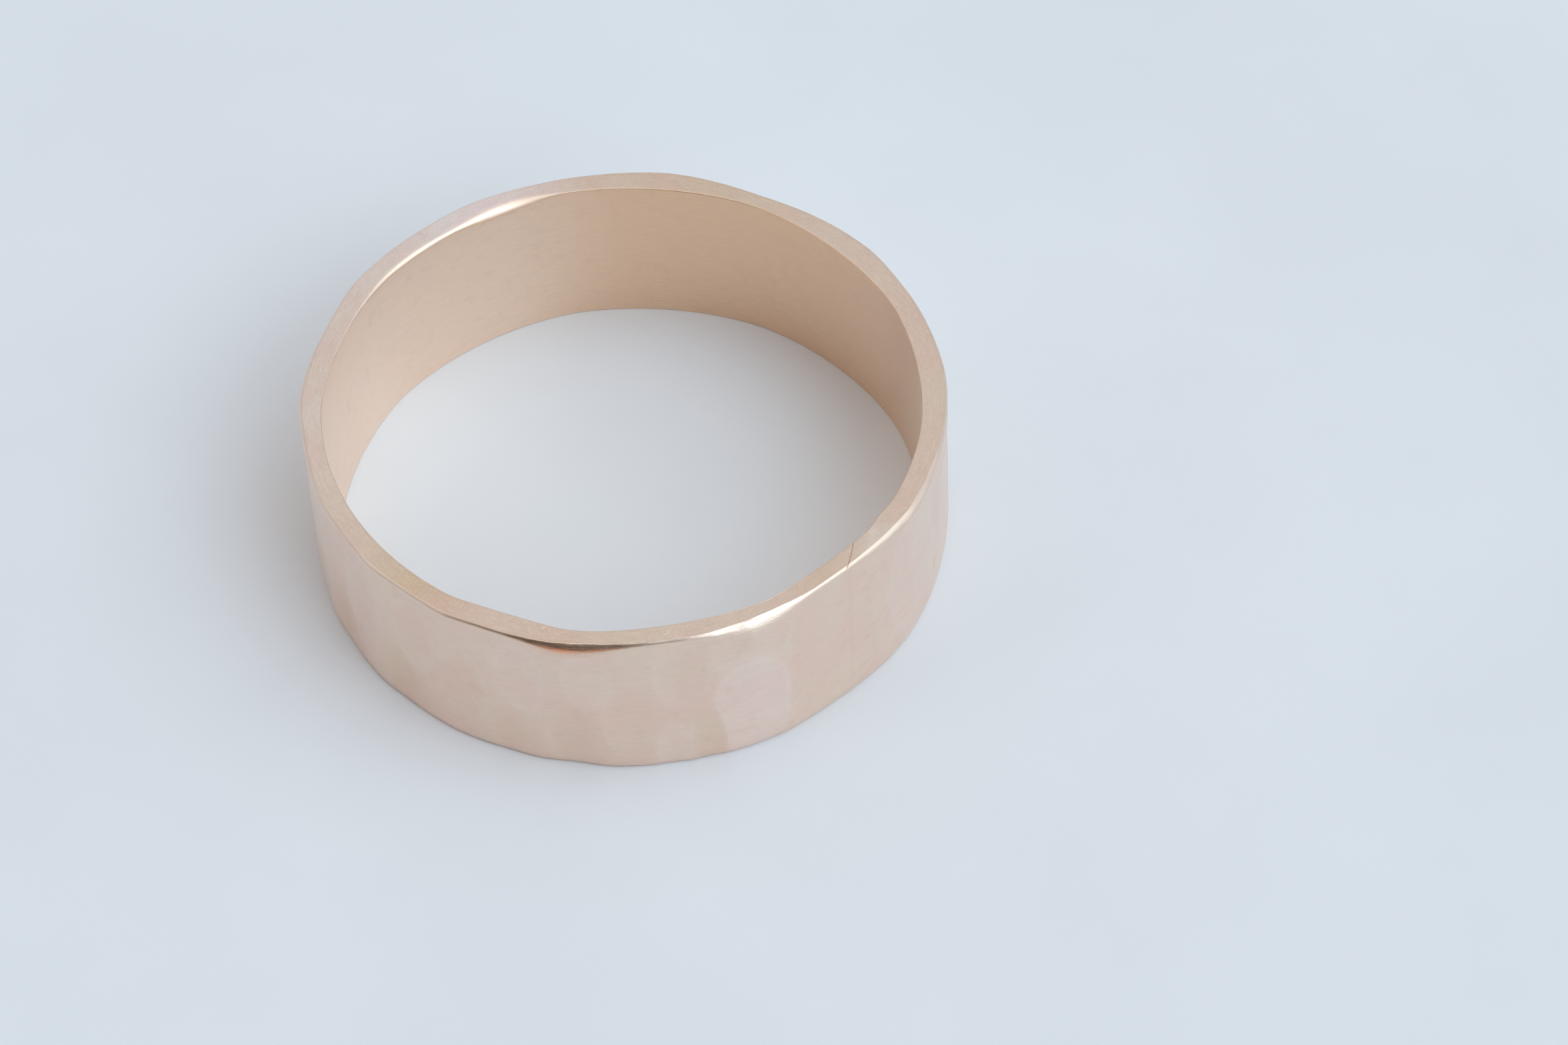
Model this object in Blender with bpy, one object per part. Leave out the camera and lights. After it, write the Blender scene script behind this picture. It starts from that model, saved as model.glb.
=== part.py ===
"""A hammered wedding band: one gold strip bent into a ring, with its slanted ends soldered.

The ring lies flat with its lower rim on z = 0 and its axis along +Z. The soldered joint is towards
+X and -Y. Azimuths are in degrees about +Z, counted from +X towards +Y.
"""

import math
import random

import bmesh
import bpy

MM = 0.001

# Driving dimensions of the ring. The radii are those it has where no bend flattens it.
OUTER_RADIUS = 10.93 * MM
BORE_RADIUS = 10.08 * MM
WALL = OUTER_RADIUS - BORE_RADIUS
WIDTH = 6.0 * MM

# The ring is a little out of round: its longer axis is at this azimuth
OVAL = 0.12 * MM
OVAL_AZIMUTH = 122.0

# The soldered joint: its ends are filed on a slant, so it crosses the wall in a shallow diagonal
SEAM_AZIMUTH = 313.9
SEAM_SLANT = 7.6
SEAM_FADE = 16.0
SOLDER_SPAN = 0.9
SOLDER_CLEARANCE = 0.1

# Edges: a fine break all round, dressed wider with a file over some stretches.
# Each dressing is its azimuth, its half span and how much wider the rounding is there.
OUTER_BREAK = 0.06 * MM
INNER_BREAK = 0.04 * MM
OUTER_DRESSINGS = (
    (218.0, 10.0, 0.04 * MM),
    (260.5, 8.5, 0.09 * MM),
    (292.0, 9.5, 0.19 * MM),
    (331.0, 18.0, 0.11 * MM),
    (62.0, 16.0, 0.10 * MM),
    (165.0, 20.0, 0.08 * MM),
)
INNER_DRESSINGS = ((115.0, 9.0, 0.24 * MM),)

# Stretches that the mallet straightened as it closed the ring: azimuth, half span, and how far
# the surface sinks there at the upper rim and at the lower rim
OUTER_BENDS = (
    (228.0, 12.5, 0.16 * MM, 0.09 * MM),
    (245.5, 11.5, 0.175 * MM, 0.09 * MM),
    (258.0, 10.0, 0.00 * MM, 0.12 * MM),
    (277.0, 16.0, 0.27 * MM, 0.06 * MM),
    (310.0, 20.0, 0.35 * MM, 0.11 * MM),
    (345.0, 18.0, 0.07 * MM, 0.10 * MM),
    (18.0, 18.0, 0.08 * MM, 0.09 * MM),
    (60.0, 22.0, 0.14 * MM, 0.10 * MM),
    (98.0, 18.0, 0.10 * MM, 0.08 * MM),
    (133.0, 14.0, 0.06 * MM, 0.08 * MM),
    (160.0, 15.0, 0.11 * MM, 0.08 * MM),
    (190.0, 17.0, 0.18 * MM, 0.10 * MM),
    (209.0, 13.0, 0.17 * MM, 0.09 * MM),
)
BORE_BENDS = (
    (215.0, 34.0, 0.065 * MM, 0.08 * MM),
    (246.5, 11.5, 0.17 * MM, 0.07 * MM),
    (281.0, 17.0, 0.13 * MM, 0.07 * MM),
    (307.5, 12.0, 0.16 * MM, 0.09 * MM),
    (322.5, 6.0, 0.15 * MM, 0.08 * MM),
    (341.0, 12.0, 0.03 * MM, 0.08 * MM),
    (5.0, 17.0, 0.08 * MM, 0.08 * MM),
    (42.0, 20.0, 0.10 * MM, 0.08 * MM),
    (82.0, 20.0, 0.10 * MM, 0.09 * MM),
    (122.0, 20.0, 0.08 * MM, 0.08 * MM),
    (160.0, 18.0, 0.10 * MM, 0.09 * MM),
)
BEND_BLEND = 0.008 * MM

# Hammer marks in the outer wall: azimuth, height, half span, half height and depth
PLACED_MARKS = (
    (290.5, 1.9 * MM, 6.0, 2.0 * MM, 0.022 * MM),
    (289.5, 4.4 * MM, 5.5, 1.7 * MM, 0.018 * MM),
    (279.5, 0.9 * MM, 3.4, 1.3 * MM, 0.014 * MM),
    (279.5, 4.3 * MM, 5.0, 1.8 * MM, 0.016 * MM),
    (268.5, 2.2 * MM, 5.5, 2.0 * MM, 0.014 * MM),
    (259.0, 1.7 * MM, 5.0, 1.8 * MM, 0.018 * MM),
    (250.5, 4.2 * MM, 4.6, 1.6 * MM, 0.014 * MM),
    (240.0, 2.0 * MM, 5.4, 2.1 * MM, 0.016 * MM),
    (229.0, 3.9 * MM, 5.2, 1.9 * MM, 0.014 * MM),
    (334.0, 3.1 * MM, 6.0, 2.2 * MM, 0.018 * MM),
)
SCATTERED_SPAN = (345.0, 560.0)
SCATTERED_COUNT = 34
MARK_BLEND = 0.0015 * MM

# Mesh resolution
COLUMNS = 144
OUTER_ROWS = 7
INNER_ROWS = 3
OUTER_ARC_STEPS = 3
INNER_ARC_STEPS = 2


def turn(azimuth, centre):
    """The angle from centre to azimuth, in degrees between -180 and 180."""
    return math.remainder(azimuth - centre, 360.0)


def soft_min(values, blend):
    """The least of the values, with the crease where two of them cross rounded off."""
    least = min(values)
    return least - blend * math.log(sum(math.exp((least - value) / blend) for value in values))


def scattered_marks():
    """Lighter marks over the part of the wall with no placed ones."""
    rng = random.Random(11)
    first, last = SCATTERED_SPAN
    pitch = (last - first) / SCATTERED_COUNT
    marks = []
    for index in range(SCATTERED_COUNT):
        azimuth = first + (index + rng.uniform(0.2, 0.8)) * pitch
        height = rng.uniform(0.1, 0.9) * WIDTH
        half_span = rng.uniform(3.5, 6.5)
        half_height = rng.uniform(1.2, 2.2) * MM
        marks.append((azimuth, height, half_span, half_height, rng.uniform(0.010, 0.020) * MM))
    return marks


MARKS = PLACED_MARKS + tuple(scattered_marks())


def bent_radius(radius, azimuth, height, bends):
    """A circle of this radius, made a slight oval, that sinks where a bend straightened it."""
    rises = [0.0]
    for centre, half_span, upper, lower in bends:
        share = turn(azimuth, centre) / half_span
        if abs(share) < 2.0:
            depth = lower + (upper - lower) * height / WIDTH
            rises.append(depth * (share * share - 1.0))
    stretch = OVAL * math.cos(math.radians(2.0 * turn(azimuth, OVAL_AZIMUTH)))
    return radius + stretch + soft_min(rises, BEND_BLEND)


def mark_depth(azimuth, height):
    """How far the hammer marks sink the outer wall: each is a shallow oval dish."""
    rises = [0.0]
    for centre, level, half_span, half_height, depth in MARKS:
        across = turn(azimuth, centre) / half_span
        along = (height - level) / half_height
        share = across * across + along * along
        if share < 4.0:
            rises.append(depth * (share - 1.0))
    return -soft_min(rises, MARK_BLEND)


def dressed(azimuth, narrowest, dressings):
    """Size of an edge's rounding, with its wider stretches faded in and out."""
    size = narrowest
    for centre, half_span, extra in dressings:
        share = turn(azimuth, centre) / half_span
        if abs(share) < 1.0:
            size += extra * math.cos(share * math.pi / 2) ** 2
    return size


def arc(centre_radius, centre_height, size, start, steps):
    """Points of a quarter circle, turning left from the start angle, without its last point."""
    points = []
    for step in range(steps):
        angle = math.radians(start + 90.0 * step / steps)
        points.append(
            (centre_radius + size * math.cos(angle), centre_height + size * math.sin(angle))
        )
    return points


def outer_radius(azimuth, height):
    """Radius of the hammered outer wall."""
    smooth = bent_radius(OUTER_RADIUS, azimuth, height, OUTER_BENDS)
    return smooth - mark_depth(azimuth, height)


def inner_radius(azimuth, height):
    """Radius of the smooth bore."""
    return bent_radius(BORE_RADIUS, azimuth, height, BORE_BENDS)


def profile(azimuth):
    """The strip's section as (radius, height) points, from the lower rim outwards and round."""
    upper = dressed(azimuth, OUTER_BREAK, OUTER_DRESSINGS)
    bore = dressed(azimuth, INNER_BREAK, INNER_DRESSINGS)
    brow = WIDTH - upper
    lip = WIDTH - bore
    foot_centre = outer_radius(azimuth, OUTER_BREAK) - OUTER_BREAK
    brow_centre = outer_radius(azimuth, brow) - upper
    lip_centre = inner_radius(azimuth, lip) + bore
    heel_centre = inner_radius(azimuth, INNER_BREAK) + INNER_BREAK
    points = arc(foot_centre, OUTER_BREAK, OUTER_BREAK, -90.0, OUTER_ARC_STEPS)
    for row in range(OUTER_ROWS):
        height = OUTER_BREAK + (brow - OUTER_BREAK) * row / OUTER_ROWS
        points.append((outer_radius(azimuth, height), height))
    points += arc(brow_centre, brow, upper, 0.0, OUTER_ARC_STEPS)
    points.append((brow_centre, WIDTH))
    points += arc(lip_centre, lip, bore, 90.0, INNER_ARC_STEPS)
    for row in range(INNER_ROWS):
        height = lip - (lip - INNER_BREAK) * row / INNER_ROWS
        points.append((inner_radius(azimuth, height), height))
    points += arc(heel_centre, INNER_BREAK, INNER_BREAK, 180.0, INNER_ARC_STEPS)
    points.append((heel_centre, 0.0))
    return points


def section(azimuth):
    """The profile as points in space. Near the joint it leans with the joint's slant."""
    fade = max(0.0, 1.0 - abs(turn(azimuth, SEAM_AZIMUTH)) / SEAM_FADE)
    points = []
    for radius, height in profile(azimuth):
        share = (radius - inner_radius(azimuth, height)) / WALL
        angle = math.radians(azimuth + SEAM_SLANT * (0.5 - share) * fade)
        points.append((radius * math.cos(angle), radius * math.sin(angle), height))
    return points


def metal(name, colour, roughness):
    """A plain metal surface."""
    made = bpy.data.materials.new(name)
    made.use_nodes = True
    shader = made.node_tree.nodes["Principled BSDF"]
    shader.inputs["Base Color"].default_value = (*colour, 1.0)
    shader.inputs["Metallic"].default_value = 1.0
    shader.inputs["Roughness"].default_value = roughness
    return made


def swept(name, first, last, columns, material):
    """A closed length of the strip between two azimuths, capped at both ends."""
    shape = bmesh.new()
    rings = []
    for column in range(columns + 1):
        azimuth = first + (last - first) * column / columns
        rings.append([shape.verts.new(point) for point in section(azimuth)])
    for ring, following in zip(rings, rings[1:]):
        for index in range(len(ring)):
            after = (index + 1) % len(ring)
            shape.faces.new((ring[index], following[index], following[after], ring[after]))
    shape.faces.new(rings[0])
    shape.faces.new(reversed(rings[-1]))
    bmesh.ops.recalc_face_normals(shape, faces=shape.faces)
    mesh = bpy.data.meshes.new(name)
    shape.to_mesh(mesh)
    shape.free()
    mesh.shade_smooth()
    mesh.set_sharp_from_angle(angle=math.radians(35.0))
    mesh.materials.append(material)
    node = bpy.data.objects.new(name, mesh)
    bpy.context.scene.collection.objects.link(node)
    return node


def centre_on_origin(nodes):
    """Moves the meshes so that the ring's bounding box is centred on the Z axis."""
    points = [vertex.co for node in nodes for vertex in node.data.vertices]
    for axis in (0, 1):
        low = min(point[axis] for point in points)
        high = max(point[axis] for point in points)
        for point in points:
            point[axis] -= (low + high) / 2


def main():
    for thing in list(bpy.data.objects):
        bpy.data.objects.remove(thing, do_unlink=True)
    half_joint = SOLDER_SPAN / 2
    strip_start = SEAM_AZIMUTH + half_joint + SOLDER_CLEARANCE
    strip_end = SEAM_AZIMUTH + 360.0 - half_joint - SOLDER_CLEARANCE
    gold = metal("rose_gold", (0.83, 0.61, 0.47), 0.32)
    solder = metal("gold_solder", (0.80, 0.62, 0.44), 0.40)
    band = swept("band", strip_start, strip_end, COLUMNS, gold)
    joint_start = SEAM_AZIMUTH - half_joint
    seam = swept("solder_seam", joint_start, SEAM_AZIMUTH + half_joint, 2, solder)
    centre_on_origin((band, seam))


main()
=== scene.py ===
"""Looks of the hammered wedding band: satin rose gold on a pale table, in soft window light.

The strip has the CAD's radii and bends on a finer mesh. Its hammer marks and edge roundings are its
own, and it also has the joint's hairline, small pits beside the bore and a scratch across the rim.
"""

import math
import random

import bpy
import numpy as np
from mathutils import Matrix


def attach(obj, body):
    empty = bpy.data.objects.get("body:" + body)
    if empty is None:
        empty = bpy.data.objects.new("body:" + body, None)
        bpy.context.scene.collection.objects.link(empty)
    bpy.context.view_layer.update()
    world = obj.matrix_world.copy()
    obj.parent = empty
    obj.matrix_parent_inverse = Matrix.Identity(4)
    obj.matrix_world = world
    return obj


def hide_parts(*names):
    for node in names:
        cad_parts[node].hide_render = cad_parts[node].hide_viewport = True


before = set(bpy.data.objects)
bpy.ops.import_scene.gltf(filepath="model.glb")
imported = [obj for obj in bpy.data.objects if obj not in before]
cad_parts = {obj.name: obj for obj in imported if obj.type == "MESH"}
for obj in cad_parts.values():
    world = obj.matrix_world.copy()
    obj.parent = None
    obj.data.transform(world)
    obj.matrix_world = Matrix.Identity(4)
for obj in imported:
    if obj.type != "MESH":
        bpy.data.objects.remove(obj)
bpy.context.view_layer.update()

MM = 0.001

# The ring's driving dimensions
OUTER_RADIUS = 10.93 * MM
BORE_RADIUS = 10.08 * MM
WALL = OUTER_RADIUS - BORE_RADIUS
WIDTH = 6.0 * MM
OVAL = 0.12 * MM
OVAL_AZIMUTH = 122.0

# The soldered joint, in degrees: its place, how far it slants from the bore to the outside, the
# span on each side over which that fades, and the solder's width
SEAM_AZIMUTH = 313.9
SEAM_SLANT = 7.6
SEAM_FADE = 16.0
SOLDER_SPAN = 0.9
SOLDER_COLUMNS = 13

# The hairlines left and right of the solder: half span in degrees, and depth
LEFT_GROOVE = (0.24, 0.032 * MM)
RIGHT_GROOVE = (0.16, 0.004 * MM)

# Edge roundings. A dressing lists azimuth, half span and how much wider the rounding is there
OUTER_BREAK = 0.095 * MM
INNER_BREAK = 0.04 * MM
OUTER_DRESSINGS = (
    (200.0, 34.0, 0.06 * MM),
    (261.0, 13.0, 0.20 * MM),
    (293.0, 13.0, 0.24 * MM),
    (331.0, 18.0, 0.10 * MM),
    (62.0, 16.0, 0.10 * MM),
    (165.0, 20.0, 0.08 * MM),
)
INNER_DRESSINGS = ((113.0, 14.0, 0.30 * MM), (134.0, 26.0, 0.14 * MM), (320.5, 4.0, 0.03 * MM))

# Straightened stretches: azimuth, half span, depth at the upper rim and at the lower rim
OUTER_BENDS = (
    (228.0, 12.5, 0.16 * MM, 0.09 * MM),
    (245.5, 11.5, 0.175 * MM, 0.09 * MM),
    (258.0, 10.0, 0.00 * MM, 0.12 * MM),
    (277.0, 16.0, 0.27 * MM, 0.06 * MM),
    (310.0, 20.0, 0.35 * MM, 0.11 * MM),
    (345.0, 18.0, 0.07 * MM, 0.10 * MM),
    (18.0, 18.0, 0.08 * MM, 0.09 * MM),
    (60.0, 22.0, 0.14 * MM, 0.10 * MM),
    (98.0, 18.0, 0.10 * MM, 0.08 * MM),
    (133.0, 14.0, 0.06 * MM, 0.08 * MM),
    (160.0, 15.0, 0.11 * MM, 0.08 * MM),
    (190.0, 17.0, 0.18 * MM, 0.10 * MM),
    (209.0, 13.0, 0.17 * MM, 0.09 * MM),
)
BORE_BENDS = (
    (215.0, 34.0, 0.065 * MM, 0.08 * MM),
    (246.5, 11.5, 0.17 * MM, 0.07 * MM),
    (281.0, 17.0, 0.13 * MM, 0.07 * MM),
    (307.5, 12.0, 0.16 * MM, 0.09 * MM),
    (322.5, 6.5, 0.10 * MM, 0.08 * MM),
    (341.0, 12.0, 0.03 * MM, 0.08 * MM),
    (5.0, 17.0, 0.08 * MM, 0.08 * MM),
    (42.0, 20.0, 0.10 * MM, 0.08 * MM),
    (82.0, 20.0, 0.10 * MM, 0.09 * MM),
    (122.0, 20.0, 0.08 * MM, 0.08 * MM),
    (160.0, 18.0, 0.10 * MM, 0.09 * MM),
)
BEND_BLEND = 0.020 * MM

# Hammer marks: azimuth, height, half span, half height, depth and the painted light and shade on
# the facet, lighter above zero and darker below
PLACED_MARKS = (
    (291.0, 2.1 * MM, 7.5, 2.5 * MM, 0.090 * MM, 1.5),
    (283.0, 1.2 * MM, 3.9, 1.6 * MM, 0.085 * MM, -1.0),
    (290.0, 5.0 * MM, 6.5, 1.2 * MM, 0.055 * MM, 0.3),
    (279.0, 4.2 * MM, 5.5, 1.7 * MM, 0.065 * MM, -0.2),
    (276.6, 0.8 * MM, 3.2, 1.3 * MM, 0.060 * MM, 0.6),
    (269.5, 2.4 * MM, 5.2, 2.0 * MM, 0.060 * MM, -0.3),
    (262.5, 4.4 * MM, 4.6, 1.5 * MM, 0.050 * MM, 0.2),
    (259.5, 1.5 * MM, 5.0, 1.8 * MM, 0.070 * MM, -0.6),
    (250.5, 4.0 * MM, 5.0, 1.8 * MM, 0.055 * MM, 0.4),
    (248.0, 1.3 * MM, 4.8, 1.5 * MM, 0.050 * MM, -0.8),
    (239.0, 2.6 * MM, 5.4, 2.1 * MM, 0.065 * MM, -0.6),
    (229.0, 3.9 * MM, 5.2, 1.9 * MM, 0.055 * MM, -0.3),
    (225.0, 1.4 * MM, 5.2, 1.6 * MM, 0.055 * MM, -1.5),
    (215.0, 3.0 * MM, 6.0, 2.3 * MM, 0.060 * MM, 0.3),
    (310.0, 2.6 * MM, 14.0, 4.6 * MM, 0.100 * MM, -0.2),
    (331.0, 3.0 * MM, 8.4, 3.2 * MM, 0.075 * MM, 0.5),
    (339.5, 4.4 * MM, 5.2, 1.9 * MM, 0.060 * MM, -0.2),
    (207.0, 1.4 * MM, 6.0, 1.7 * MM, 0.055 * MM, -1.2),
)
MARK_BLEND = 0.005 * MM
FACET_BLEND = 0.020 * MM

# Random marks cover the rest of the wall
SCATTERED_SPAN = (345.0, 560.0)
SCATTERED_COUNT = 34

# The burnished ridge between two marks: how wide it looks, and how deep the marks must be for it
RIDGE_WIDTH = 0.014 * MM
RIDGE_DEPTH = 0.02 * MM

# The marks fade towards both rims over this height, down to this share of their depth
MARK_FADE = 0.8 * MM
MARKS_AT_RIM = 0.35

# Painted light and shade, standing in for reflections, on the upper outer edge, the rim and the
# bore: azimuth, half span and shade
EDGE_PAINTED_SHADING = ((258.0, 22.0, -2.0), (320.0, 22.0, -2.6))
RIM_PAINTED_SHADING = (
    (229.0, 16.0, -2.8),
    (262.0, 20.0, -0.8),
    (307.0, 8.0, -1.6),
    (320.0, 5.0, 1.8),
    (72.0, 26.0, -1.6),
    (112.0, 16.0, 2.0),
    (124.0, 28.0, 4.6),
    (150.0, 20.0, 1.8),
    (180.0, 30.0, 2.0),
)
BORE_PAINTED_SHADING = ((50.0, 60.0, -0.9), (112.0, 24.0, 1.6), (150.0, 58.0, 4.4))

# Where wear polished the upper outer edge: azimuth, half span and how much, and the least anywhere
POLISHED = ((262.0, 26.0, 1.6), (288.0, 16.0, 0.4))
LEAST_POLISH = 0.3

# Where the top of the wall was brushed harder: azimuth, half span and how much, the height at
# which this starts and how far up it takes to reach full strength
BRUSHED = ((264.0, 18.0, 0.10), (294.0, 14.0, 1.2), (330.0, 20.0, 0.2))
BRUSHED_FROM = 3.6 * MM
BRUSHED_RISE = 1.6 * MM

# Pits in the rim beside the bore: azimuth, radius, size and depth
PITS = (
    (248.7, 10.10 * MM, 0.050 * MM, 0.030 * MM),
    (251.5, 10.12 * MM, 0.045 * MM, 0.030 * MM),
    (253.6, 10.09 * MM, 0.060 * MM, 0.025 * MM),
    (255.2, 10.17 * MM, 0.055 * MM, 0.035 * MM),
    (258.8, 10.21 * MM, 0.045 * MM, 0.030 * MM),
    (259.6, 10.19 * MM, 0.035 * MM, 0.020 * MM),
)

# Hairline and pits start this far below the rim, and fade in over this height
RIM_DEPTH = 0.10 * MM
RIM_BLEND = 0.08 * MM

# A bright scratch across the rim, in millimetres: its two ends by azimuth and radius, the
# distances from its middle line between which it fades, the length over which its ends fade,
# and how bright it is
SCRATCH = ((276.3, 10.49), (278.2, 10.22))
SCRATCH_SIDE = (0.006, 0.016)
SCRATCH_END = 0.06
SCRATCH_STRENGTH = 0.8

# The upper outer edge: how far its normal leans before the filed rim, its height against the
# rounding's size, the share of it after which it turns fast, and the exponent of its turning
EDGE_LEAN = 54.0
EDGE_SIZE = 1.55
EDGE_TURN = 0.92
EDGE_CURVE = 1.5

# The lower outer edge: how high and how deep its rounding is
FOOT_HEIGHT = 0.42 * MM
FOOT_INSET = 0.13 * MM

# The radius, in millimetres, at which the finish measures arcs
LAY_RADIUS = 10.5

# Over these degrees before the joint, the finish's patterns fade into those after it
WRAP_SPAN = 14.0

# Mesh resolution: steps round the profile, then degrees between columns. These are closer over
# the front, and closest within JOINT_NEAR of the joint, from where they widen out to JOINT_FAR
OUTER_ARC_STEPS = 14
OUTER_ROWS = 54
RIM_STEPS = 9
INNER_ARC_STEPS = 6
INNER_ROWS = 14
FINE_SPAN = (226.0, 336.0)
FINE_PITCH = 0.25
PLAIN_PITCH = 0.95
JOINT_PITCH = 0.05
JOINT_NEAR = 0.8
JOINT_FAR = 3.0

# Edges that bend by more than this, in degrees, are shaded sharp
SHARP_ANGLE = 50.0

# Colours: a rosier and a straw-like shade outside, and the warmer bore
ROSE_GOLD = ((0.892, 0.675, 0.560), (0.885, 0.708, 0.578), (0.915, 0.662, 0.466))
GOLD_SOLDER = ((0.882, 0.665, 0.550), (0.875, 0.698, 0.568), (0.905, 0.652, 0.456))
TARNISH = (0.74, 0.48, 0.35, 1.0)
BARE_SCRATCH = (0.98, 0.93, 0.86, 1.0)
SPECK = (0.40, 0.28, 0.21, 1.0)
PAINT = (0.83, 0.845, 0.875)

# How much lighter one step of shade makes red, green and blue
TONE_STEPS = (0.022, 0.045, 0.085)

# Painted highlight on the ridges: how much whiter a ridge is than its facets
RIDGE_PAINTED_HIGHLIGHT = 1.4

# The strokes round the wall: their height, and how far the second set slants, in radians
STROKE_HEIGHT = 0.0055 * MM
STROKE_SLANT = 0.45

# The share of the slanted strokes, how much weaker all strokes are on the rim and on the edge and
# how much stronger where brushed, and the grain everywhere and added on the rim
SLANT_SHARE = 0.45
STROKES_ON_RIM = -0.75
STROKES_ON_EDGE = -0.25
STROKES_BRUSHED = 2.8
GRAIN = 0.25
GRAIN_ON_RIM = 0.9

# Roughness of the outer wall, and how much it changes on the edge, the ridges, the bore and the rim
ROUGHNESS = (0.45, 0.55)
ROUGHNESS_CHANGES = (-0.20, -0.08, -0.06, -0.04)
COAT_IOR = 1.6
COAT_ROUGHNESS = 0.45


# ---------------------------------------------------------------------------- shape functions


def turn(azimuth, centre):
    """The angle from centre to azimuth, in degrees between -180 and 180."""
    return (azimuth - centre + 180.0) % 360.0 - 180.0


def shares(count):
    """This many even shares from 0 up to, but not including, 1, as a column."""
    return (np.arange(count) / count)[:, None]


def on_rows(azimuth, like):
    """The azimuths of the columns, repeated on every row of an array like this one."""
    return np.broadcast_to(azimuth, like.shape).copy()


def soft_min(values, blend):
    """The least of the values, with the crease where two of them cross rounded off."""
    stack = np.stack(values)
    least = stack.min(axis=0)
    return least - blend * np.log(np.exp((least - stack) / blend).sum(axis=0))


def scattered_marks():
    """Random marks over the part of the wall with no placed ones."""
    rng = random.Random(11)
    first, last = SCATTERED_SPAN
    pitch = (last - first) / SCATTERED_COUNT
    marks = []
    for index in range(SCATTERED_COUNT):
        azimuth = first + (index + rng.uniform(0.2, 0.8)) * pitch
        height = rng.uniform(0.1, 0.9) * WIDTH
        half_span = rng.uniform(3.5, 6.5)
        half_height = rng.uniform(1.2, 2.2) * MM
        depth = rng.uniform(0.035, 0.065) * MM
        # The last value is the facet's shade, random here
        marks.append((azimuth, height, half_span, half_height, depth, rng.uniform(-0.8, 0.8)))
    return marks


MARKS = PLACED_MARKS + tuple(scattered_marks())


def bent_radius(radius, azimuth, height, bends):
    """A circle of this radius, made a slight oval, that sinks where a bend straightened it."""
    rises = [np.zeros_like(azimuth)]
    for centre, half_span, upper, lower in bends:
        share = turn(azimuth, centre) / half_span
        depth = lower + (upper - lower) * height / WIDTH
        # Away from the bend, a rise of one metre keeps it out of the least
        rises.append(np.where(np.abs(share) < 2.0, depth * (share * share - 1.0), 1.0))
    stretch = OVAL * np.cos(np.radians(2.0 * turn(azimuth, OVAL_AZIMUTH)))
    return radius + stretch + soft_min(rises, BEND_BLEND)


def hammered(azimuth, height):
    """The hammer marks, each a shallow oval dish.

    Returns how far they sink the outer wall, how far a place is on a ridge between two of them,
    and the shade painted on its facet: painted light and shade on the placed marks, random on the
    others.
    """
    rises = [np.zeros_like(azimuth)]
    painted_and_random_shades = [0.0]
    for centre, level, half_span, half_height, depth, painted_and_random_shade in MARKS:
        across = turn(azimuth, centre) / half_span
        along = (height - level) / half_height
        share = across * across + along * along
        rises.append(np.where(share < 4.0, depth * (share - 1.0), 1.0))
        painted_and_random_shades.append(painted_and_random_shade)
    stack = np.sort(np.stack(rises), axis=0)
    ridge = np.exp(-(stack[1] - stack[0]) / RIDGE_WIDTH)
    ridge = ridge * np.clip(-stack[0] / RIDGE_DEPTH, 0.0, 1.0)
    weights = np.exp((stack[0] - np.stack(rises)) / FACET_BLEND)
    painted_and_random_shade = (weights * np.array(painted_and_random_shades)[:, None, None]).sum(axis=0) / weights.sum(axis=0)
    return -soft_min(rises, MARK_BLEND), ridge, painted_and_random_shade


def dressed(azimuth, narrowest, dressings):
    """Size of an edge's rounding, with its wider stretches faded in and out."""
    size = np.full_like(azimuth, narrowest)
    for centre, half_span, extra in dressings:
        share = np.clip(turn(azimuth, centre) / half_span, -1.0, 1.0)
        size += extra * np.cos(share * math.pi / 2) ** 2
    return size


def faded(azimuth, spots):
    """Sum of the shades of these spots, each fading out to its half span."""
    total = np.zeros_like(azimuth)
    for centre, half_span, shade in spots:
        total += shade * np.clip(1.0 - np.abs(turn(azimuth, centre)) / half_span, 0.0, 1.0)
    return total


def outer_radius(azimuth, height):
    """Radius of the hammered outer wall. The marks are shallower at the rims."""
    marks = hammered(np.atleast_2d(azimuth), np.atleast_2d(height))[0].reshape(azimuth.shape)
    inside = np.clip(np.minimum(height, WIDTH - height) / MARK_FADE, 0.0, 1.0)
    marks = marks * (MARKS_AT_RIM + (1.0 - MARKS_AT_RIM) * inside)
    return bent_radius(OUTER_RADIUS, azimuth, height, OUTER_BENDS) - marks


def inner_radius(azimuth, height):
    """Radius of the smooth bore."""
    return bent_radius(BORE_RADIUS, azimuth, height, BORE_BENDS)


def edge_curve(steps):
    """A hammered edge that was filed flat on top: rises and sinks for a rounding of size 1.

    The normal leans slowly from level to steep, then turns fast into the filed rim.
    """
    fine_steps = 4 * steps
    along = (np.arange(fine_steps) + 0.5) / fine_steps
    turned = np.clip((along - EDGE_TURN) / (1.0 - EDGE_TURN), 0.0, 1.0)
    lean = EDGE_LEAN * np.sin(along * math.pi / 2) ** EDGE_CURVE
    lean += (90.0 - EDGE_LEAN) * turned**EDGE_CURVE
    rise = np.concatenate(([0.0], np.cumsum(np.cos(np.radians(lean)))))
    sink = np.concatenate(([0.0], np.cumsum(np.sin(np.radians(lean)))))
    # The points kept are closer together where the curve turns fast
    pick = np.round(fine_steps * (1.0 - (1.0 - np.arange(steps) / steps) ** EDGE_CURVE)).astype(int)
    size = EDGE_SIZE / rise[-1]
    return rise[pick][:, None] * size, sink[pick][:, None] * size, sink[-1] * size


def quarter(start, steps):
    """Cosines and sines of a quarter circle from the start angle, without its last point."""
    angles = np.radians(start + 90.0 * np.arange(steps) / steps)
    return np.cos(angles)[:, None], np.sin(angles)[:, None]


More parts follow.
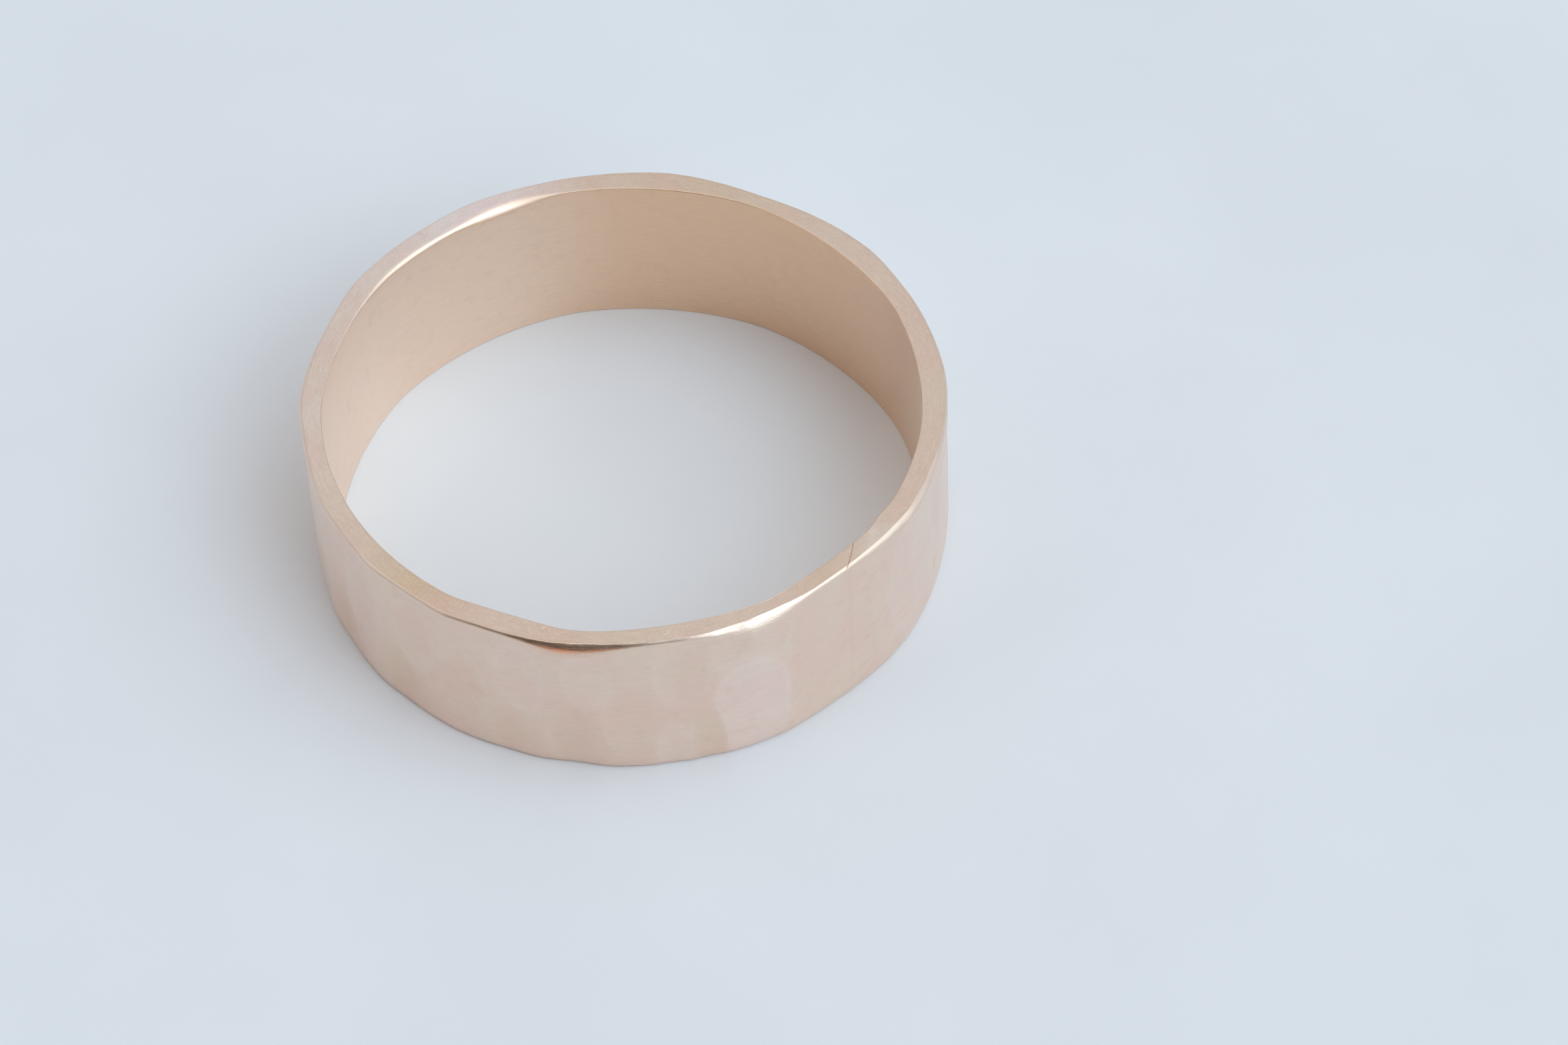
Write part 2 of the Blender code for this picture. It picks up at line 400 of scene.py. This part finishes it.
def profile(azimuth):
    """The strip's section at each azimuth: radii and heights, as arrays of points by columns.

    The points go from the lower outer edge up the wall, over the rim, down the bore and back.
    """
    upper = dressed(azimuth, OUTER_BREAK, OUTER_DRESSINGS)
    bore = dressed(azimuth, INNER_BREAK, INNER_DRESSINGS)
    low = np.full_like(azimuth, FOOT_HEIGHT)
    heel = np.full_like(azimuth, INNER_BREAK)
    rises, sinks, inset = edge_curve(OUTER_ARC_STEPS)
    brow = WIDTH - upper * EDGE_SIZE
    lip = WIDTH - bore
    foot_centre = outer_radius(azimuth, low) - FOOT_INSET
    wall_top = outer_radius(azimuth, brow)
    brow_centre = wall_top - upper * inset
    lip_centre = inner_radius(azimuth, lip) + bore
    heel_centre = inner_radius(azimuth, heel) + heel

    radii, heights = [], []
    cosines, sines = quarter(-90.0, INNER_ARC_STEPS)
    radii.append(foot_centre + FOOT_INSET * cosines)
    heights.append(low + low * sines)
    level = low + (brow - low) * shares(OUTER_ROWS)
    radii.append(outer_radius(on_rows(azimuth, level), level))
    heights.append(level)
    radii.append(wall_top - upper * sinks)
    heights.append(brow + upper * rises)
    radii.append(brow_centre + (lip_centre - brow_centre) * shares(RIM_STEPS))
    heights.append(np.full_like(radii[-1], WIDTH))
    cosines, sines = quarter(90.0, INNER_ARC_STEPS)
    radii.append(lip_centre + bore * cosines)
    heights.append(lip + bore * sines)
    level = lip - (lip - heel) * shares(INNER_ROWS)
    radii.append(inner_radius(on_rows(azimuth, level), level))
    heights.append(level)
    cosines, sines = quarter(180.0, INNER_ARC_STEPS)
    radii.append(heel_centre + heel * cosines)
    heights.append(heel + heel * sines)
    radii.append(heel_centre + (foot_centre - heel_centre) * shares(RIM_STEPS))
    heights.append(np.zeros_like(radii[-1]))
    return np.concatenate(radii), np.concatenate(heights)


def finish_masks():
    """By profile point: how far it belongs to the upper outer edge, the upper rim and the bore."""
    foot, wall, brow, rim = INNER_ARC_STEPS, OUTER_ROWS, OUTER_ARC_STEPS, RIM_STEPS
    lip, bore, heel = INNER_ARC_STEPS, INNER_ROWS, INNER_ARC_STEPS
    ends = np.cumsum((foot, wall, brow, rim, lip, bore, heel, RIM_STEPS))
    masks = np.zeros((ends[-1], 3))
    masks[ends[1] + 1 : ends[2] + 1, 0] = 1.0
    masks[ends[2] : ends[3] + 1, 1] = 1.0
    masks[ends[3] + 2 : ends[6], 2] = 1.0
    return masks


def joint_groove(azimuth):
    """Depth of the hairlines beside the solder, the left one deeper than the right one."""
    groove = np.zeros_like(azimuth)
    for side, (span, depth) in ((-1, LEFT_GROOVE), (1, RIGHT_GROOVE)):
        away = np.abs(turn(azimuth, SEAM_AZIMUTH + side * SOLDER_SPAN / 2)) / span
        groove += depth * np.clip(1.0 - away, 0.0, 1.0)
    return groove


def surface(azimuth):
    """Points in space by (profile point, column), and the values that the finish follows.

    lay is the place along the strip in millimetres: arc, height and radius. finish is how far a
    place belongs to the polished edge, the rim and the bore. The third field is how far a place
    is on a ridge, its painted light and shade, and how hard it was brushed. wrap fades the
    patterns across the joint.
    """
    radii, heights = profile(azimuth)
    spread = on_rows(azimuth, radii)
    fade = np.clip(1.0 - np.abs(turn(spread, SEAM_AZIMUTH)) / SEAM_FADE, 0.0, 1.0)
    share = (radii - inner_radius(spread, heights)) / WALL
    angle = spread + SEAM_SLANT * (0.5 - share) * fade
    # Hairline and pits, on the upper rim only
    on_rim = np.clip((heights - (WIDTH - RIM_DEPTH)) / RIM_BLEND, 0.0, 1.0)
    sunk = joint_groove(spread) * on_rim
    for centre, radius, size, depth in PITS:
        across = np.radians(turn(angle, centre)) * radius
        reach = np.hypot(across, radii - radius) / size
        sunk += depth * on_rim * np.clip(1.0 - reach * reach, 0.0, 1.0)
    heights = heights - sunk
    turned = np.radians(angle)
    points = np.stack((radii * np.cos(turned), radii * np.sin(turned), heights), axis=-1)
    # Counted a turn back, because the strip's azimuths run from the joint on past 360 degrees
    arc = np.radians(angle - 360.0) * LAY_RADIUS
    lay = np.stack((arc, heights / MM, radii / MM), axis=-1)
    _, ridge, painted_and_random_shade = hammered(spread, heights)
    finish = np.repeat(finish_masks()[:, None, :], len(azimuth), axis=1)
    outside = 1.0 - finish.max(axis=2)
    polish = np.clip(faded(spread, POLISHED), 0.0, 1.0)
    finish[..., 0] *= LEAST_POLISH + (1.0 - LEAST_POLISH) * polish
    # Painted light and shade on the facets of the outer wall, random on the scattered marks
    painted_and_random_tone = painted_and_random_shade * outside
    # Painted light and shade on the edge, the rim and the bore
    for place, tones in enumerate((EDGE_PAINTED_SHADING, RIM_PAINTED_SHADING, BORE_PAINTED_SHADING)):
        painted_and_random_tone += faded(spread, tones) * finish[..., place]
    upper_wall = np.clip((heights - BRUSHED_FROM) / BRUSHED_RISE, 0.0, 1.0)
    upper_wall = upper_wall * (1.0 - finish[..., 1] - finish[..., 2])
    brushed = np.clip(faded(spread, BRUSHED), 0.0, 1.0) * upper_wall
    facets_and_painted_shading = np.stack((ridge * outside, painted_and_random_tone, brushed), axis=-1)
    wrap = np.clip((spread - 360.0 - SEAM_AZIMUTH) / WRAP_SPAN + 1.0, 0.0, 1.0)
    wraps = np.stack((wrap, wrap, wrap), axis=-1)
    return points, {"lay": lay, "finish": finish, "facets_and_painted_shading": facets_and_painted_shading, "wrap": wraps}


def graded(first, last):
    """Azimuths from first to last, closer together near the joint and over the front."""
    places = [first]
    while places[-1] < last:
        here = places[-1] % 360.0
        near = abs(turn(here, SEAM_AZIMUTH))
        pitch = FINE_PITCH if FINE_SPAN[0] < here < FINE_SPAN[1] else PLAIN_PITCH
        if near < JOINT_FAR:
            share = max(0.0, near - JOINT_NEAR) / (JOINT_FAR - JOINT_NEAR)
            pitch = JOINT_PITCH + (FINE_PITCH - JOINT_PITCH) * share
        places.append(places[-1] + pitch)
    places = np.array(places)
    return first + (places - first) * (last - first) / (places[-1] - first)


# ---------------------------------------------------------------------------- meshes


def swept(name, azimuths, shift, material):
    """A closed length of the strip through these azimuths, capped at both ends."""
    points, fields = surface(azimuths)
    rows, columns = points.shape[:2]
    points = points + np.array(shift)
    order = np.arange(rows * columns).reshape(rows, columns)
    above = np.roll(order, -1, axis=0)
    quads = np.stack((order[:, :-1], order[:, 1:], above[:, 1:], above[:, :-1]), axis=-1)
    faces = quads.reshape(-1, 4).tolist()
    faces.append(order[:, 0].tolist())
    faces.append(order[::-1, -1].tolist())
    mesh = bpy.data.meshes.new(name)
    mesh.from_pydata(points.reshape(-1, 3).tolist(), [], faces)
    for key, values in fields.items():
        attribute = mesh.attributes.new(key, "FLOAT_VECTOR", "POINT")
        attribute.data.foreach_set("vector", values.reshape(-1).astype(np.float32))
    mesh.validate()
    mesh.update()
    mesh.shade_smooth()
    mesh.set_sharp_from_angle(angle=math.radians(SHARP_ANGLE))
    mesh.materials.append(material)
    piece = bpy.data.objects.new(name, mesh)
    bpy.context.scene.collection.objects.link(piece)
    return piece


# ---------------------------------------------------------------------------- materials


class Nodes:
    """Short calls that add nodes to one material and link them."""

    def __init__(self, material):
        material.use_nodes = True
        self.tree = material.node_tree
        self.shader = self.tree.nodes["Principled BSDF"]

    def add(self, kind, inputs=(), **settings):
        node = self.tree.nodes.new(kind)
        for key, value in settings.items():
            setattr(node, key, value)
        for key, value in dict(inputs).items():
            self.put(node, key, value)
        return node

    def put(self, node, key, value):
        socket = node.inputs[key]
        if isinstance(value, bpy.types.NodeSocket):
            self.tree.links.new(value, socket)
        else:
            socket.default_value = value

    def math(self, operation, first, second=0.0, third=0.0):
        inputs = {0: first, 1: second, 2: third}
        return self.add("ShaderNodeMath", inputs, operation=operation).outputs[0]

    def noise(
        self, vector, scale, detail, roughness, stretch=(1.0, 1.0, 1.0), offset=(0.0, 0.0, 0.0)
    ):
        inputs = {"Vector": vector, "Scale": stretch, "Location": offset}
        mapped = self.add("ShaderNodeMapping", inputs).outputs[0]
        inputs = {"Vector": mapped, "Scale": scale, "Detail": detail, "Roughness": roughness}
        return self.add("ShaderNodeTexNoise", inputs).outputs["Fac"]

    def step(self, value, low, high, floor=0.0, ceiling=1.0):
        inputs = {"Value": value, "From Min": low, "From Max": high}
        inputs.update({"To Min": floor, "To Max": ceiling})
        node = self.add("ShaderNodeMapRange", inputs, interpolation_type="SMOOTHSTEP")
        return node.outputs["Result"]

    def mix(self, factor, first, second, blend="MIX"):
        node = self.add("ShaderNodeMix", (), data_type="RGBA", blend_type=blend)
        self.put(node, 0, factor)
        self.put(node, 6, first)
        self.put(node, 7, second)
        return node.outputs[2]


def scratched(nodes, lay, rim):
    """How far a place is on the short bright scratch across the rim."""
    first, last = ((math.radians(azimuth) * LAY_RADIUS, radius) for azimuth, radius in SCRATCH)
    length = math.hypot(last[0] - first[0], last[1] - first[1])
    ahead_arc = (last[0] - first[0]) / length
    ahead_out = (last[1] - first[1]) / length
    places = nodes.add("ShaderNodeSeparateXYZ", {"Vector": lay}).outputs
    arc = nodes.math("SUBTRACT", places["X"], first[0])
    out = nodes.math("SUBTRACT", places["Z"], first[1])
    along = nodes.math("MULTIPLY_ADD", out, ahead_out, nodes.math("MULTIPLY", arc, ahead_arc))
    across = nodes.math("MULTIPLY_ADD", out, -ahead_arc, nodes.math("MULTIPLY", arc, ahead_out))
    near = nodes.step(nodes.math("ABSOLUTE", across), *SCRATCH_SIDE, 1.0, 0.0)
    from_middle = nodes.math("ABSOLUTE", nodes.math("SUBTRACT", along, length / 2))
    inside = nodes.step(from_middle, length / 2 - SCRATCH_END, length / 2, 1.0, 0.0)
    on_rim = nodes.math("MULTIPLY", rim, SCRATCH_STRENGTH)
    return nodes.math("MULTIPLY", nodes.math("MULTIPLY", near, inside), on_rim)


def rose_gold(name, rose, straw, bore):
    """Satin rose gold: fine strokes round the wall, a grained rim and a burnished outer edge.

    The colours are those of the outer side, in two shades, and of the bore.
    """
    material = bpy.data.materials.new(name)
    nodes = Nodes(material)
    lay = nodes.add("ShaderNodeAttribute", attribute_name="lay").outputs["Vector"]
    finish = nodes.add("ShaderNodeAttribute", attribute_name="finish").outputs["Vector"]
    places = nodes.add("ShaderNodeSeparateXYZ", {"Vector": finish}).outputs
    edge, rim, inside = places["X"], places["Y"], places["Z"]
    facets_and_painted_shading = nodes.add("ShaderNodeAttribute", attribute_name="facets_and_painted_shading").outputs["Vector"]
    marks = nodes.add("ShaderNodeSeparateXYZ", {"Vector": facets_and_painted_shading}).outputs
    ridge, painted_and_random_shade, brushed = marks["X"], marks["Y"], marks["Z"]

    # Before the joint, the patterns fade into those a whole turn back, which go on after it
    wrap = nodes.add("ShaderNodeAttribute", attribute_name="wrap").outputs["Fac"]
    turn_back = (-2.0 * math.pi * LAY_RADIUS, 0.0, 0.0)
    behind = nodes.add("ShaderNodeVectorMath", {0: lay, 1: turn_back}, operation="ADD").outputs[0]

    def pattern(scale, **settings):
        near, far = (nodes.noise(vector, scale, **settings) for vector in (lay, behind))
        return nodes.math("MULTIPLY_ADD", nodes.math("SUBTRACT", far, near), wrap, near)

    mottle = pattern(0.55, detail=3.0, roughness=0.55)
    blotch = pattern(1.7, detail=3.0, roughness=0.6, offset=(3.0, 7.0, 1.0))
    strokes = pattern(1.0, detail=3.0, roughness=0.7, stretch=(1.6, 17.0, 17.0))
    slanted = nodes.add(
        "ShaderNodeVectorRotate", {"Vector": lay, "Angle": STROKE_SLANT}, rotation_type="Z_AXIS"
    ).outputs[0]
    slants = nodes.noise(
        slanted, 1.0, detail=2.0, roughness=0.6, stretch=(2.4, 21.0, 9.0), offset=(5.0, 2.0, 9.0)
    )
    grain = pattern(11.0, detail=3.0, roughness=0.7)
    specks = pattern(6.0, detail=2.0, roughness=0.5, offset=(1.0, 4.0, 2.0))

    warm = nodes.step(mottle, 0.36, 0.64)
    colour = nodes.mix(warm, (*rose, 1.0), (*straw, 1.0))
    colour = nodes.mix(inside, colour, (*bore, 1.0))
    fine = nodes.step(strokes, 0.30, 0.70, 0.95, 1.03)
    # Painted highlights make the ridges and lighter places whiter, painted shade makes darker ones
    # warmer
    painted_and_random_tone = nodes.math("MULTIPLY_ADD", ridge, RIDGE_PAINTED_HIGHLIGHT, painted_and_random_shade)
    grained = nodes.math("MULTIPLY", nodes.step(grain, 0.30, 0.70, -1.5, 1.2), rim)
    painted_and_random_tone = nodes.math("ADD", painted_and_random_tone, grained)
    tones = {}
    for axis, step in zip("XYZ", TONE_STEPS):
        tones[axis] = nodes.math("MULTIPLY_ADD", painted_and_random_tone, step, fine)
    tones = nodes.add("ShaderNodeCombineXYZ", tones).outputs[0]
    colour = nodes.mix(1.0, colour, tones, "MULTIPLY")
    tarnish = nodes.step(blotch, 0.52, 0.80, 0.0, 0.22)
    colour = nodes.mix(tarnish, colour, TARNISH)
    colour = nodes.mix(scratched(nodes, lay, rim), colour, BARE_SCRATCH)
    dark = nodes.step(specks, 0.72, 0.82, 0.0, 0.25)
    colour = nodes.mix(dark, colour, SPECK)

    rough = nodes.step(strokes, 0.3, 0.7, *ROUGHNESS)
    for place, change in zip((edge, ridge, inside, rim), ROUGHNESS_CHANGES):
        rough = nodes.math("MULTIPLY_ADD", place, change, rough)
    # The bump's strokes are weak on the rim, which has a grain instead, and deep where brushed
    lines = nodes.math("MULTIPLY_ADD", slants, SLANT_SHARE, strokes)
    lines = nodes.math("MULTIPLY", lines, nodes.math("MULTIPLY_ADD", rim, STROKES_ON_RIM, 1.0))
    grained = nodes.math("MULTIPLY_ADD", rim, GRAIN_ON_RIM, GRAIN)
    lines = nodes.math("MULTIPLY_ADD", grain, grained, lines)
    for place, change in ((edge, STROKES_ON_EDGE), (brushed, STROKES_BRUSHED)):
        lines = nodes.math("MULTIPLY", lines, nodes.math("MULTIPLY_ADD", place, change, 1.0))
    bump = nodes.add(
        "ShaderNodeBump", {"Height": lines, "Strength": 1.0, "Distance": STROKE_HEIGHT}
    ).outputs[0]

    nodes.put(nodes.shader, "Base Color", colour)
    nodes.put(nodes.shader, "Metallic", 1.0)
    nodes.put(nodes.shader, "Roughness", rough)
    nodes.put(nodes.shader, "Normal", bump)
    nodes.put(nodes.shader, "Coat Weight", 1.0)
    nodes.put(nodes.shader, "Coat IOR", COAT_IOR)
    nodes.put(nodes.shader, "Coat Roughness", COAT_ROUGHNESS)
    return material


def painted(name, colour):
    """Pale matt paint, with a hardly visible brush grain."""
    material = bpy.data.materials.new(name)
    nodes = Nodes(material)
    place = nodes.add("ShaderNodeTexCoord").outputs["Object"]
    cloud = nodes.noise(place, 60.0, detail=3.0, roughness=0.6)
    shade = nodes.step(cloud, 0.3, 0.7, 0.975, 1.01)
    shades = nodes.add("ShaderNodeCombineXYZ", {"X": shade, "Y": shade, "Z": shade}).outputs[0]
    tint = nodes.mix(1.0, (*colour, 1.0), shades, "MULTIPLY")
    nodes.put(nodes.shader, "Base Color", tint)
    nodes.put(nodes.shader, "Roughness", 0.55)
    nodes.put(nodes.shader, "Specular IOR Level", 0.3)
    return material


# ---------------------------------------------------------------------------- light and camera


def direction(azimuth, elevation):
    """The unit vector towards this azimuth and elevation, in degrees."""
    flat = math.cos(math.radians(elevation))
    return (
        flat * math.cos(math.radians(azimuth)),
        flat * math.sin(math.radians(azimuth)),
        math.sin(math.radians(elevation)),
    )


# The room's light, and areas mixed into it one after another: azimuth, elevation, the angles from
# there within which the area is full and beyond which there is none, its light and its share
ROOM = (0.66, 0.71, 0.76)
ROOM_AREAS = (
    (0.0, 90.0, 10.0, 45.0, (1.55, 1.60, 1.66), 1.0),
    (90.0, 48.0, 14.0, 32.0, (0.71, 0.70, 0.68), 0.9),
    (200.0, 15.0, 20.0, 50.0, (0.55, 0.55, 0.56), 0.75),
    (178.0, 50.0, 8.0, 34.0, (1.30, 1.27, 1.22), 1.0),
    (-12.0, 24.0, 10.0, 34.0, (1.50, 1.80, 1.95), 1.0),
    (-20.0, 62.0, 8.0, 30.0, (1.9, 2.3, 2.6), 1.0),
    (-108.0, 40.0, 30.0, 40.0, (0.09, 0.055, 0.03), 1.0),
    (-109.0, 12.0, 5.0, 15.0, (1.4, 0.68, 0.35), 0.9),
    (-48.0, 38.0, 6.0, 27.0, (3.4, 3.9, 4.3), 1.0),
)
ROOM_STRENGTH = 0.815

# Half the side of the table top
TABLE_HALF = 0.6

# The camera: lens and sensor width in millimetres, place in metres and turns in degrees
LENS = 99.15
SENSOR_WIDTH = 36.0
CAMERA_PLACE = (0.005174, -0.09861, 0.11068)
CAMERA_TILT = 41.54
CAMERA_ROLL = -2.96


def room_light():
    """A pale room with a window at the front right and a dark place on the viewer's side."""
    world = bpy.data.worlds.new("room")
    world.use_nodes = True
    tree = world.node_tree
    tree.nodes.clear()
    place = tree.nodes.new("ShaderNodeTexCoord").outputs["Generated"]
    colour = None
    for azimuth, elevation, full, none, tint, share in ROOM_AREAS:
        dot = tree.nodes.new("ShaderNodeVectorMath")
        dot.operation = "DOT_PRODUCT"
        tree.links.new(place, dot.inputs[0])
        dot.inputs[1].default_value = direction(azimuth, elevation)
        angle = tree.nodes.new("ShaderNodeMath")
        angle.operation = "ARCCOSINE"
        tree.links.new(dot.outputs["Value"], angle.inputs[0])
        reach = tree.nodes.new("ShaderNodeMapRange")
        reach.interpolation_type = "SMOOTHSTEP"
        tree.links.new(angle.outputs[0], reach.inputs["Value"])
        reach.inputs["From Min"].default_value = math.radians(full)
        reach.inputs["From Max"].default_value = math.radians(none)
        reach.inputs["To Min"].default_value = share
        reach.inputs["To Max"].default_value = 0.0
        mix = tree.nodes.new("ShaderNodeMix")
        mix.data_type = "RGBA"
        tree.links.new(reach.outputs["Result"], mix.inputs[0])
        if colour is None:
            mix.inputs[6].default_value = (*ROOM, 1.0)
        else:
            tree.links.new(colour, mix.inputs[6])
        mix.inputs[7].default_value = (*tint, 1.0)
        colour = mix.outputs[2]
    background = tree.nodes.new("ShaderNodeBackground")
    tree.links.new(colour, background.inputs["Color"])
    background.inputs["Strength"].default_value = ROOM_STRENGTH
    output = tree.nodes.new("ShaderNodeOutputWorld")
    tree.links.new(background.outputs[0], output.inputs["Surface"])
    bpy.context.scene.world = world


def table(material):
    """A large pale table top under the ring."""
    mesh = bpy.data.meshes.new("table_top")
    signs = ((-1, -1), (1, -1), (1, 1), (-1, 1))
    corners = [(TABLE_HALF * across, TABLE_HALF * along, 0.0) for across, along in signs]
    mesh.from_pydata(corners, [], [(0, 1, 2, 3)])
    mesh.materials.append(material)
    piece = bpy.data.objects.new("table_top", mesh)
    bpy.context.scene.collection.objects.link(piece)
    return piece


def look():
    """The camera: a short telephoto from the front, looking down at the ring."""
    lens = bpy.data.cameras.new("camera")
    lens.lens = LENS
    lens.sensor_width = SENSOR_WIDTH
    lens.sensor_fit = "HORIZONTAL"
    lens.clip_start = 0.005
    camera = bpy.data.objects.new("camera", lens)
    tilt = Matrix.Rotation(math.radians(CAMERA_TILT), 4, "X")
    roll = Matrix.Rotation(math.radians(CAMERA_ROLL), 4, "Z")
    camera.matrix_world = Matrix.Translation(CAMERA_PLACE) @ tilt @ roll
    bpy.context.scene.collection.objects.link(camera)
    bpy.context.scene.camera = camera


# ---------------------------------------------------------------------------- the scene


gold = rose_gold("satin_rose_gold", *ROSE_GOLD)
solder = rose_gold("satin_gold_solder", *GOLD_SOLDER)

# The strip runs from one side of the joint to the other, and its box is centred on the origin
half_joint = SOLDER_SPAN / 2
strip_azimuths = graded(SEAM_AZIMUTH + half_joint, SEAM_AZIMUTH + 360.0 - half_joint)
outline = surface(strip_azimuths)[0].reshape(-1, 3)
middle = (outline.min(axis=0) + outline.max(axis=0)) / 2
shift = (-middle[0], -middle[1], 0.0)

band = swept("band_hammered_strip", strip_azimuths, shift, gold)
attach(band, "root")
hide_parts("band")

solder_ends = (SEAM_AZIMUTH - half_joint, SEAM_AZIMUTH + half_joint)
seam = swept("solder_wafer", np.linspace(*solder_ends, SOLDER_COLUMNS), shift, solder)
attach(seam, "root")
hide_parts("solder_seam")

table(painted("pale_paint", PAINT))
room_light()
look()
bpy.context.scene.view_settings.view_transform = "Standard"
